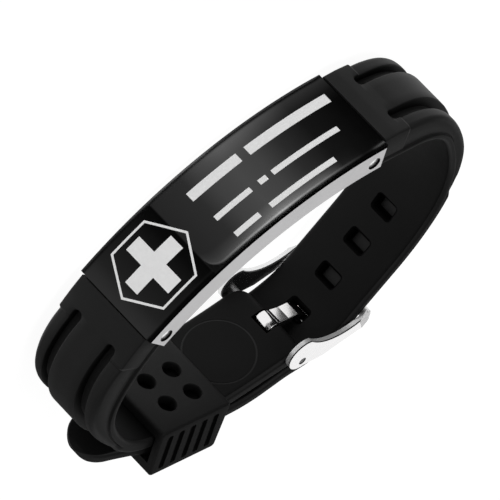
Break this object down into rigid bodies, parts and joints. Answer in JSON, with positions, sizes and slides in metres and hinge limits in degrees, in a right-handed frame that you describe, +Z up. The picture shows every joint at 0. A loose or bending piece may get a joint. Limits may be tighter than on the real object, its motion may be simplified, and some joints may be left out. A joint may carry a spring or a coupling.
{
  "type": "medical alert bracelet",
  "caption": "Identification bracelet with an arched steel plate, black silicone straps, a pin buckle and a keeper loop, fastened and lying on its side.",
  "frame": {"origin": "middle of the bounding box in X and Y, on the surface that the bracelet lies on", "axes": "+Z up and across the width of the band; +X along the length of the plate towards the strap that carries the buckle; -Y outward from the face of the plate"},
  "size_m": [0.0752, 0.056, 0.0178],
  "materials": {
    "silicone": "matte black silicone",
    "black_plate": "polished black coating",
    "brushed_steel": "fine brushed along the length",
    "polished_steel": "polished",
    "pin_steel": "turned pin ends",
    "engraving": "flat white engraved marks"
  },
  "bodies": {
    "root": {"plate_body": "brushed_steel", "plate_cover": "black_plate", "plate_pin_hole_side": "pin_steel", "plate_pin_buckle_side": "pin_steel", "hole_strap": "silicone", "buckle_strap": "silicone", "keeper": "silicone", "buckle_frame": "polished_steel", "buckle_tang": "polished_steel", "spring_bar": "pin_steel"}
  },
  "joints": []
}
